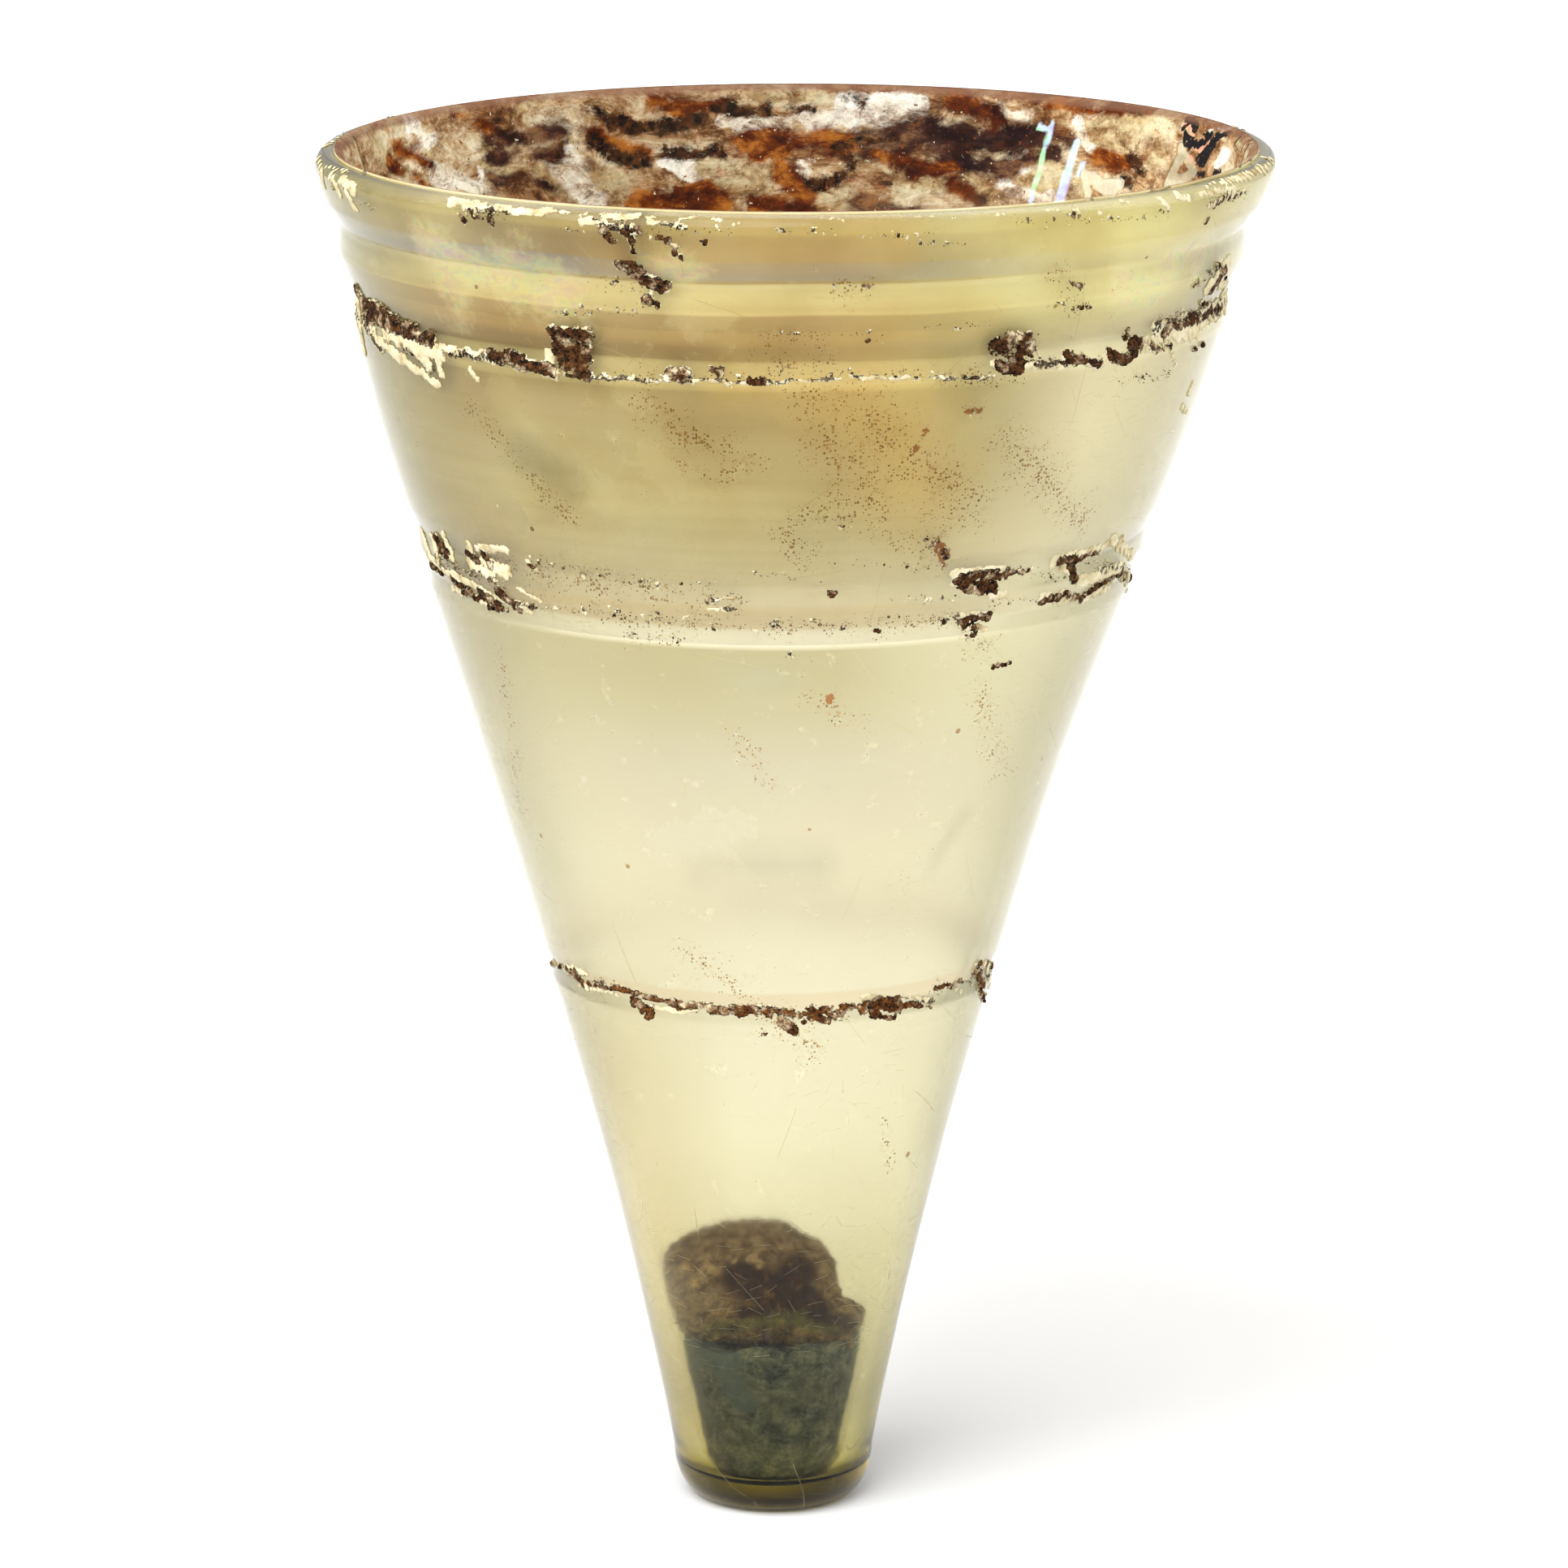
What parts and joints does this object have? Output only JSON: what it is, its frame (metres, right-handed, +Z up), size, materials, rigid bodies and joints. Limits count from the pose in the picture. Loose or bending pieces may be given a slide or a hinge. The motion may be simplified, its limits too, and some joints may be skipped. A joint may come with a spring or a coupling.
{
  "type": "conical glass beaker",
  "caption": "Thick-walled conical glass beaker with wheel-cut bands and a rounded lip on a tiny flat foot, with burial crust, dried silt and a soil clod inside.",
  "frame": {"origin": "centre of the flat foot, on the surface that the beaker stands on", "axes": "+Z up from the foot to the mouth, -Y towards the side that the picture shows, +X to the right in the picture"},
  "size_m": [0.1108, 0.1108, 0.1619],
  "materials": {
    "glass": "pale yellow-green, finely scratched",
    "weathering": "flaking brown and cream film with iridescent streaks",
    "crust": "matt, granular, dark brown on cream",
    "silt": "matt grey-green dried silt",
    "soil": "matt grey-brown soil with russet specks"
  },
  "bodies": {
    "root": {"glass_body": "glass", "inner_weathering": "weathering", "rim_crust": "crust", "upper_groove_crust": "crust", "middle_groove_crust": "crust", "lower_groove_crust": "crust", "silt_fill": "silt", "soil_clod": "soil"}
  },
  "joints": []
}
